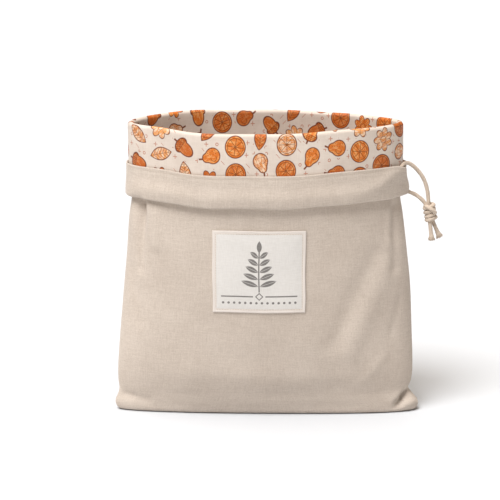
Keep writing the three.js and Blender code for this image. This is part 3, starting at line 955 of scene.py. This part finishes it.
class Field:
    """A number that a material works out at each point of a surface."""

    def __init__(self, tree, socket):
        self.tree = tree
        self.socket = socket

    def math(self, operation, *terms, first=None):
        inputs = dict(enumerate((self if first is None else first, *terms)))
        return Field(self.tree, add_node(self.tree, "Math", inputs, operation=operation).outputs[0])

    __add__ = __radd__ = worked_out_by("ADD")
    __sub__ = worked_out_by("SUBTRACT")
    __mul__ = __rmul__ = worked_out_by("MULTIPLY")
    __truediv__ = worked_out_by("DIVIDE")
    size = worked_out_by("ABSOLUTE")
    floor = worked_out_by("FLOOR")
    sin = worked_out_by("SINE")
    cos = worked_out_by("COSINE")
    root = worked_out_by("SQRT")
    rest = worked_out_by("FLOORED_MODULO")
    least = worked_out_by("MINIMUM")
    most = worked_out_by("MAXIMUM")
    turn_of = worked_out_by("ARCTAN2")

    def __rsub__(self, other):
        return self.math("SUBTRACT", self, first=other)

    def is_near(self, value):
        return self.math("COMPARE", value, 0.5)

    def from_to(self, start, end):
        """Smooth step from 0 to 1 between two limits."""
        low, high = min(start, end), max(start, end)
        inputs = {"Value": self, "From Min": low, "From Max": high}
        inputs |= {"To Min": int(start > end), "To Max": int(start < end)}
        node = add_node(self.tree, "MapRange", inputs, interpolation_type="SMOOTHSTEP")
        return Field(self.tree, node.outputs["Result"])


# Numbers of a mixing node's colours among its inputs and outputs
MIX_FIRST = 6
MIX_SECOND = 7
MIX_RESULT = 2


class Cloth:
    """A material with its coordinates in millimetres along the cloth."""

    def __init__(self, name):
        self.material = bpy.data.materials.new(name)
        self.material.use_nodes = True
        self.tree = self.material.node_tree
        self.shader = self.tree.nodes["Principled BSDF"]
        uv = add_node(self.tree, "UVMap", {}, uv_map="cloth")
        parts = add_node(self.tree, "SeparateXYZ", {0: uv.outputs["UV"]})
        self.u = Field(self.tree, parts.outputs["X"]) * 1000
        self.v = Field(self.tree, parts.outputs["Y"]) * 1000

    def vector(self, x, y, z):
        return add_node(self.tree, "CombineXYZ", {"X": x, "Y": y, "Z": z}).outputs[0]

    def noise(self, x, y, seed, detail):
        """Even noise round 0.5, in steps of about 1 in x and y."""
        inputs = {"Vector": self.vector(x, y, seed), "Scale": 1, "Detail": detail}
        return Field(self.tree, add_node(self.tree, "TexNoise", inputs).outputs[0])

    def spots(self, wide, high, seed, detail=2):
        """Even noise round 0.5, in spots about as wide and high in mm as it says."""
        return self.noise(self.u / wide, self.v / high, seed, detail)

    def chance(self, x, y, seed):
        """Three random numbers that stay the same all over a cell."""
        inputs = {"Vector": self.vector(x, y, seed)}
        node = add_node(self.tree, "TexWhiteNoise", inputs, noise_dimensions="3D")
        parts = add_node(self.tree, "SeparateColor", {0: node.outputs["Color"]})
        return [Field(self.tree, parts.outputs[k]) for k in range(3)]

    def blend(self, share, *colours):
        """One colour or socket turned into another by a share."""
        first, second = (linear(c) if isinstance(c, tuple) else c for c in colours)
        inputs = {"Factor": share, MIX_FIRST: first, MIX_SECOND: second}
        return add_node(self.tree, "Mix", inputs, data_type="RGBA").outputs[MIX_RESULT]

    def weave(self, pitch):
        """Height of a plain weave, 0 to 1, its threads as uneven as spun ones."""
        wander = (self.spots(14, 14, 5.1) - 0.5) * 0.9
        across = ((self.u + wander) * (math.pi / pitch)).sin()
        along = ((self.v + wander) * (math.pi / pitch)).sin()
        return across * along * 0.5 + 0.5

    def slubs(self, thick, long):
        """Streaks of thicker threads along both ways of the weave, round 0.5."""
        return self.spots(long, thick, 1.7) * 0.5 + self.spots(thick, long, 9.2) * 0.5

    def finish(self, colour, roughness, height, depth, **sockets):
        """The material, with these inputs of its shader and a bump as deep in mm as it says."""
        bump = add_node(self.tree, "Bump", {"Distance": depth * MM, "Height": height})
        sockets |= {"Base_Color": colour, "Roughness": roughness, "Normal": bump.outputs[0]}
        for socket, term in sockets.items():
            fill(self.tree, self.shader.inputs[socket.replace("_", " ")], term)
        return self.material


def linen_material():
    """Unbleached canvas in a plain weave of uneven threads."""
    cloth = Cloth("canvas")
    slubs = cloth.slubs(0.7, 11)
    mottle = cloth.spots(38, 38, 3.3, 3)
    flecks = cloth.spots(1.0, 1.6, 6.4, 1).from_to(0.68, 0.76)
    grain = cloth.spots(1.5, 1.3, 8.8)
    weave = cloth.weave(0.72)
    tone = (slubs - 0.5) * 1.25 + (mottle - 0.5) * 0.4 + (grain - 0.5) * 0.65
    tone = tone + (weave - 0.5) * 0.35 + 0.5
    colour = cloth.blend(tone.from_to(0, 1), LINEN_DARK, LINEN_LIGHT)
    colour = cloth.blend(flecks * 0.4, colour, LINEN_FLECK)
    height = weave * 0.6 + slubs * 0.5
    return cloth.finish(colour, 0.92, height, 0.2, Sheen_Weight=0.12, Sheen_Roughness=0.5)


def cord_material():
    """Braided cotton, with darker fibres and patches."""
    cloth = Cloth("cotton_cord")
    fibres = cloth.spots(0.25, 1.6, 2.1)
    patches = cloth.spots(6, 9, 4.2)
    tone = (fibres - 0.5) * 1.2 + (patches - 0.5) * 0.6 + 0.5
    colour = cloth.blend(tone.from_to(0, 1), CORD_DARK, CORD_LIGHT)
    return cloth.finish(colour, 0.9, fibres, 0.12, Sheen_Weight=0.2, Sheen_Roughness=0.5)


def thread_material():
    """Sewing thread of the canvas's colour."""
    cloth = Cloth("sewing_thread")
    fibres = cloth.spots(0.12, 0.5, 7.7)
    colour = cloth.blend(fibres.from_to(0.3, 0.7), LINEN_DARK, THREAD)
    return cloth.finish(colour, 0.8, fibres, 0.05, Sheen_Weight=0.1)


# The print: size of a motif's cell and how far it strays in it, its own size, how thick its lines
# are, and the size of a small mark's cell
CELL_WIDE = 27
CELL_HIGH = 25.5
CELL_PLAY = 2
MOTIF_SIZE = 1.06
LINE = 0.55
SMALL_WIDE = 10.9
SMALL_HIGH = 9.7


def far_from(x, y, at_x=0, at_y=0):
    """Distance of the points of a surface from one place."""
    across, up = x - at_x, y - at_y
    return (across * across + up * up).root()


def leaf(x, y):
    """A pointed leaf: its distance field and its veins."""
    half = 5.7 * (1 - (x / 11.6) * (x / 11.6))
    field = y.size() - half
    slant = (x + y.size() * 0.9).rest(3.2)
    veins = (slant - 1.6).size().least(y.size() * 1.3)
    return field, veins


def flower(x, y):
    """A flower of seven petals with a round middle."""
    far = far_from(x, y)
    petals = (y.turn_of(x) * 3.5).cos().size()
    field = far - (petals * 3.6 + 7.2)
    ring = (far - 3.1).size()
    parting = (petals * 2.2).most(4.2 - far)
    return field, ring.least(parting)


def pear(x, y):
    """A pear with its stalk."""
    body = far_from(x, y, 0, -3.0) - 7.2
    neck = far_from(x, y, 0, 3.8) - 4.0
    stalk = ((x - (y - 7.0) * 0.25).size() - 0.35).most((y - 9.0).size() - 2.2)
    field = body.math("SMOOTH_MIN", neck, 2.5).least(stalk)
    shine = far_from(x, y, -2.2, -3.2) - 2.8
    speckle = far_from(x.rest(2.6), y.rest(2.6), 1.3, 1.3)
    return field, shine.size().most(x + 1.6).least((speckle - 0.1).most(1.0 - x))


def acorn(x, y):
    """An acorn: a nut under a hatched cup."""
    nut = far_from(x / 5.8, (y + 1.5) / 8.8) * 6 - 6
    cup = far_from(x / 7.4, (y - 3.2) / 4.8) * 5 - 5
    stalk = (x.size() - 0.4).most((y - 8.8).size() - 2.0)
    brim = (y - 2.2).size().most(x.size() - 7.0)
    hatch = ((x + y).rest(2.4) - 1.2).size().least(((x - y).rest(2.4) - 1.2).size()).most(2.8 - y)
    return nut.least(cup).least(stalk), brim.least(hatch)


def slice_of_fruit(x, y):
    """A round slice of fruit with its segments."""
    far = far_from(x, y)
    ring = (far - 8.0).size()
    spokes = ((y.turn_of(x) * 4).sin().size() * far * 0.25).most(far - 7.8)
    return far - 9.9, ring.least(spokes)


def scattered_motifs(cloth):
    """The print's motifs, one to a cell, each turned and moved by chance: their distance field and
    marks, the place in the motif, and two random numbers that stay the same all over it."""
    column = (cloth.u / CELL_WIDE).floor()
    v = cloth.v + column.rest(2) * (CELL_HIGH * 0.47) + column.rest(3) * 3.1
    row = (v / CELL_HIGH).floor()
    kind, turn, shift = cloth.chance(column, row, 0.37)
    x0 = cloth.u - (column + 0.5) * CELL_WIDE - (shift - 0.5) * CELL_PLAY
    y0 = v - (row + 0.5) * CELL_HIGH - (kind - 0.5) * CELL_PLAY
    angle = (turn - 0.5) * 5.2
    x = (x0 * angle.cos() + y0 * angle.sin()) / MOTIF_SIZE
    y = (y0 * angle.cos() - x0 * angle.sin()) / MOTIF_SIZE
    kind = (kind * 43.7).rest(5).floor()
    field = marks = 0
    for number, motif in enumerate((leaf, flower, pear, acorn, slice_of_fruit)):
        chosen = kind.is_near(number)
        motif_field, motif_marks = motif(x, y)
        field = field + motif_field * chosen
        marks = marks + motif_marks * chosen
    return field, marks, x, y, turn, shift


def small_marks(cloth):
    """Distance field of small crosses, rings and dashes, at most one to a cell."""
    row = (cloth.v / SMALL_HIGH).floor()
    column = (cloth.u / SMALL_WIDE).floor()
    chosen, place_x, place_y = cloth.chance(column, row, 5.9)
    x = cloth.u - (column + 0.5) * SMALL_WIDE - (place_x - 0.5) * 6
    y = cloth.v - (row + 0.5) * SMALL_HIGH - (place_y - 0.5) * 5
    far = far_from(x, y)
    cross = x.size().least(y.size()).most(far - 1.9)
    ring = (far - 1.3).size()
    dash = (x + y).size().most(far - 2.4)
    no_cross = chosen.from_to(0.3, 0.31) * 9
    no_ring = (chosen - 0.45).size().from_to(0.14, 0.15) * 9
    no_dash = (chosen - 0.7).size().from_to(0.1, 0.11) * 9
    return (cross + no_cross).least(ring + no_ring).least(dash + no_dash)


def print_material():
    """Waxed cotton, printed with scattered leaves, flowers and fruit."""
    cloth = Cloth("waxed_lining")
    field, marks, x, y, turn, shift = scattered_motifs(cloth)
    inside = field.from_to(0.1, -0.3)
    outline = field.size().from_to(LINE + 0.15, LINE - 0.25)
    drawn = marks.from_to(0.4, 0.14) * inside
    small_mark = small_marks(cloth).from_to(0.5, 0.2) * field.from_to(1.4, 2.2)
    brush = cloth.noise(x / 1.6, y / 5.5, 8.3, 3)
    wax = cloth.spots(21, 21, 2.2, 4)
    slubs = cloth.slubs(0.6, 9)
    tone = (wax - 0.5) * 1.3 + (slubs - 0.5) * 1.2 + 0.5
    ground = cloth.blend(tone.from_to(0, 1), WAX_SHADE, WAX_GROUND)
    hatch = ((x + y * 0.5).rest(1.7) - 0.85).size().from_to(0.55, 0.3) * turn.from_to(0.55, 0.56)
    rust = (shift.from_to(0.6, 0.75) * 0.5).most(hatch * 0.55)
    cream = shift.from_to(0.17, 0.15) * brush.from_to(0.6, 0.4) * 0.85
    tint = cloth.blend(brush.from_to(0.46, 0.66) * 0.8, PRINT_ORANGE, PRINT_PALE)
    tint = cloth.blend(cream, cloth.blend(rust, tint, PRINT_RUST), PRINT_CREAM)
    rubbed = cloth.spots(0.9, 0.9, 4.4).from_to(0.62, 0.72) * 0.25
    colour = cloth.blend(inside, ground, tint)
    colour = cloth.blend(outline * 0.92, colour, PRINT_LINE)
    colour = cloth.blend(drawn * 0.8, colour, PRINT_LINE)
    colour = cloth.blend(small_mark * 0.8, colour, PRINT_RUST)
    colour = cloth.blend(rubbed, colour, ground)
    roughness = wax * 0.3 + 0.36
    height = cloth.weave(0.5) * 0.3 + slubs * 0.35 + wax * 0.8
    return cloth.finish(colour, roughness, height, 0.15, Specular_IOR_Level=0.22)


# The label's ornament: where the sprig starts, how far apart its leaves are, and the lines' height
SPRIG_LOW = -15
LEAF_PITCH = 7.2
LEAF_PAIRS = 5
LEAF_LONG = 8.2
LEAF_HALF = 2.6
LINE_AT = -24.5
BEADS_AT = -31


def label_material():
    """A pale woven label with a leafy sprig and a plain border, all in one ink."""
    cloth = Cloth("woven_label")
    x, y = cloth.u, cloth.v
    rise = y - SPRIG_LOW
    pair = (rise / LEAF_PITCH).floor()
    leaf_y = rise - (pair + 0.5) * LEAF_PITCH
    side_x = x.size() / (1.06 - pair * 0.13)
    along = side_x * 0.94 + leaf_y * 0.34 - LEAF_LONG + 0.3
    across = leaf_y * 0.94 - side_x * 0.34 + 2.8
    leaves = across.size() - LEAF_HALF * (1 - (along / LEAF_LONG) * (along / LEAF_LONG))
    half_rise = LEAF_PAIRS * LEAF_PITCH / 2
    leaves = leaves.most((rise - half_rise).size() - half_rise)
    top_leaf = x.size() - 2.4 * (1 - ((y - 25.5) / 6) * ((y - 25.5) / 6))
    stem = (x.size() - 0.6).most((y - 0.5).size() - 20.5)
    line = ((y - LINE_AT).size() - 0.65).most((x.size() - 21.5).size() - 15.5)
    diamond = x.size() + (y - LINE_AT).size() - 3.4
    bead_x = x.rest(5.4) - 2.7
    beads = (far_from(bead_x, y, 0, BEADS_AT) - 1.2).most(x.size() - 37.4)
    ink = leaves.least(top_leaf).least(stem).least(line).least(diamond.size() - 0.65).least(beads)
    veins = across.size().most(leaves + 0.4)
    shown = ink.from_to(0.2, -0.15) * (1 - veins.from_to(0.34, 0.14) * 0.6)
    weave = cloth.weave(0.55)
    slubs = cloth.slubs(0.5, 7)
    edge = (x.size() - 41.2).most(y.size() - 37.3).from_to(0, 0.6)
    colour = cloth.blend(((slubs - 0.5) * 1.8 + 0.5).from_to(0, 1), LABEL_SHADE, LABEL_WHITE)
    colour = cloth.blend(edge * 0.7, colour, LABEL_EDGE)
    colour = cloth.blend(shown * (slubs * 0.5 + 0.6), colour, LABEL_INK)
    return cloth.finish(colour, 0.8, weave * 0.5 + slubs * 0.5, 0.14, Sheen_Weight=0.1)


def dress(piece, material):
    """Give a piece its material."""
    piece.data.materials.clear()
    piece.data.materials.append(material)


canvas = linen_material()
waxed = print_material()
cotton = cord_material()
thread = thread_material()
for piece in (canvas_front, canvas_back):
    dress(piece, canvas)
for piece in (lining_front, lining_back):
    dress(piece, waxed)
for piece in (cord_upper, cord_lower, knot, cord_inside):
    dress(piece, cotton)
for piece in rows_of_stitches:
    dress(piece, thread)
dress(label, label_material())

# Plain pale floor, dim light all round and two broad soft lights, from above and from the front left
FLOOR_HALF = 20
FLOOR_BELOW = 0.0004
FLOOR_COLOUR = (0.63, 0.65, 0.68, 1)
ROUND_COLOUR = (1, 0.83, 0.66, 1)
ROUND_STRENGTH = 0.27
LEFT_COLOUR = (1, 1, 1)
ABOVE_COLOUR = (1, 0.95, 0.89)

floor_mesh = bpy.data.meshes.new("floor")
floor_corners = [(x * FLOOR_HALF, y * FLOOR_HALF, 0) for x, y in ((-1, -1), (1, -1), (1, 1), (-1, 1))]
floor_mesh.from_pydata(floor_corners, [], [(0, 1, 2, 3)])
floor = put("floor", floor_mesh)
floor.location.z = -FLOOR_BELOW
floor_paint = bpy.data.materials.new("floor_paint")
floor_paint.use_nodes = True
floor_shader = floor_paint.node_tree.nodes["Principled BSDF"]
floor_shader.inputs["Base Color"].default_value = FLOOR_COLOUR
floor_shader.inputs["Roughness"].default_value = 0.95
floor_shader.inputs["Specular IOR Level"].default_value = 0.1
floor_mesh.materials.append(floor_paint)

world = bpy.data.worlds.new("world")
world.use_nodes = True
background = world.node_tree.nodes["Background"]
background.inputs["Color"].default_value = ROUND_COLOUR
background.inputs["Strength"].default_value = ROUND_STRENGTH
bpy.context.scene.world = world


def soft_light(name, energy, wide, shines, colour):
    """A broad soft light; wide is its angle across, shines the direction that it shines in."""
    light = bpy.data.lights.new(name, "SUN")
    light.energy = energy
    light.color = colour
    light.angle = math.radians(wide)
    stand = put(name, light)
    stand.matrix_world = Vector(shines).to_track_quat("-Z", "Y").to_matrix().to_4x4()


soft_light("light_above", 1.65, wide=50, shines=(0.1, -0.15, -1), colour=ABOVE_COLOUR)
soft_light("light_left", 3.7, wide=32, shines=(0.54, 0.78, -1.45), colour=LEFT_COLOUR)
bpy.context.scene.view_settings.view_transform = "Standard"
